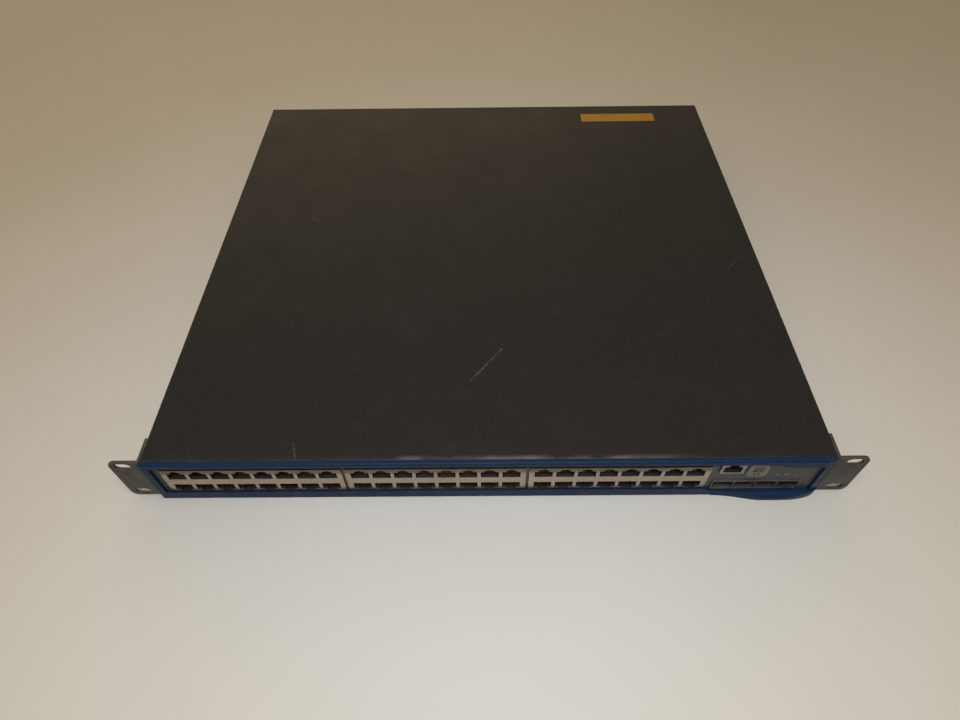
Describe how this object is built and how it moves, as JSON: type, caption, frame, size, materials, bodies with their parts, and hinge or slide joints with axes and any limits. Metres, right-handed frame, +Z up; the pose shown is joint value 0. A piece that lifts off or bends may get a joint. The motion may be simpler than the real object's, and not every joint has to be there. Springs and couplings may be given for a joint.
{
  "type": "rackmount network switch",
  "caption": "One-unit rackmount network switch with banks of stacked network ports, fibre ports, rack ears, a steel case with side fans and a mains inlet at the rear.",
  "frame": {"origin": "centre of the footprint (front belly to rear sockets, ear to ear), on the surface the case rests on", "axes": "front faces -Y, +X to the right seen from the front, +Z up"},
  "size_m": [0.4826, 0.43, 0.0437],
  "materials": {
    "case_paint": "dark charcoal powder paint, fine texture",
    "bezel_plastic": "navy blue moulded plastic, satin",
    "panel_paint": "mid grey paint, satin",
    "ear_paint": "warm grey paint, worn at the edges",
    "screw_steel": "zinc plated",
    "screw_black": "black oxide",
    "tin_plate": "tin plated, dulled",
    "cage_metal": "nickel plated, dull",
    "jack_plastic": "black moulded plastic",
    "contact_gold": "gold flashed",
    "clear_plastic": "clear acrylic, hazed",
    "lamp_plastic": "clear lens, unlit",
    "surround_plastic": "light grey moulded plastic",
    "window_plastic": "smoked acrylic",
    "display_segments": "unlit digit",
    "board_green": "green solder mask",
    "button_plastic": "dark grey moulded plastic",
    "chip_black": "black moulded epoxy",
    "heatsink_aluminium": "extruded, matt",
    "standoff_brass": "turned",
    "supply_board_tan": "tan laminate",
    "insulator_film": "polyester film",
    "transformer_core": "ferrite with tape",
    "capacitor_sleeve": "heat-shrunk sleeve",
    "wire_sleeve": "insulated wire",
    "fan_plastic": "black moulded plastic",
    "inlet_plastic": "black moulded plastic",
    "pin_metal": "nickel plated",
    "ground_brass": "plated brass",
    "label_yellow": "yellow printed label, blank, satin film"
  },
  "bodies": {
    "chassis": {"base_tray": "case_paint", "top_cover": "case_paint", "front_bezel": "bezel_plastic", "front_panel": "panel_paint", "rack_ear_left": "ear_paint", "rack_ear_right": "ear_paint", "ear_screws": "screw_steel", "cover_screws": "screw_black", "panel_screws": "screw_steel", "port_shield_left": "tin_plate", "port_shield_centre": "tin_plate", "port_shield_right": "tin_plate", "port_housing_left": "jack_plastic", "port_housing_centre": "jack_plastic", "port_housing_right": "jack_plastic", "port_contacts_left": "contact_gold", "port_contacts_centre": "contact_gold", "port_contacts_right": "contact_gold", "port_light_pipes": "clear_plastic", "port_leds": "lamp_plastic", "console_shield": "cage_metal", "console_housing": "jack_plastic", "console_contacts": "contact_gold", "sfp_cage": "cage_metal", "sfp_connectors": "jack_plastic", "display_surround": "surround_plastic", "display_window": "window_plastic", "seven_segment_display": "display_segments", "display_board": "board_green", "mode_switch": "chip_black", "status_leds": "lamp_plastic", "main_board": "board_green", "board_standoffs": "standoff_brass", "board_screws": "screw_steel", "switch_chips": "chip_black", "chip_heatsinks": "heatsink_aluminium", "memory_chips": "chip_black", "poe_modules": "board_green", "supply_board": "supply_board_tan", "supply_insulator": "insulator_film", "supply_transformers": "transformer_core", "supply_capacitors": "capacitor_sleeve", "supply_heatsinks": "heatsink_aluminium", "supply_harness": "wire_sleeve", "fan_frames": "fan_plastic", "fan_screws": "screw_steel", "ac_inlet": "inlet_plastic", "ac_inlet_pins": "pin_metal", "inlet_screws": "screw_steel", "redundant_socket": "inlet_plastic", "redundant_socket_pins": "pin_metal", "ground_screw": "ground_brass", "yellow_label": "label_yellow"},
    "mode_button": {"mode_button": "button_plastic"},
    "fan_front": {"fan_rotor_front": "fan_plastic"},
    "fan_middle": {"fan_rotor_middle": "fan_plastic"},
    "fan_rear": {"fan_rotor_rear": "fan_plastic"}
  },
  "joints": [
    {"name": "mode_button_press", "type": "slide", "parent": "chassis", "child": "mode_button", "axis": [0, 1, 0], "range_m": [0, 0.001], "stiffness_N_per_m": 400},
    {"name": "fan_front_spin", "type": "hinge", "parent": "chassis", "child": "fan_front", "pos_m": [-0.2078, 0.022, 0.0212], "axis": [1, 0, 0], "continuous": true},
    {"name": "fan_middle_spin", "type": "hinge", "parent": "chassis", "child": "fan_middle", "pos_m": [-0.2078, 0.082, 0.0212], "axis": [1, 0, 0], "continuous": true},
    {"name": "fan_rear_spin", "type": "hinge", "parent": "chassis", "child": "fan_rear", "pos_m": [-0.2078, 0.142, 0.0212], "axis": [1, 0, 0], "continuous": true}
  ]
}
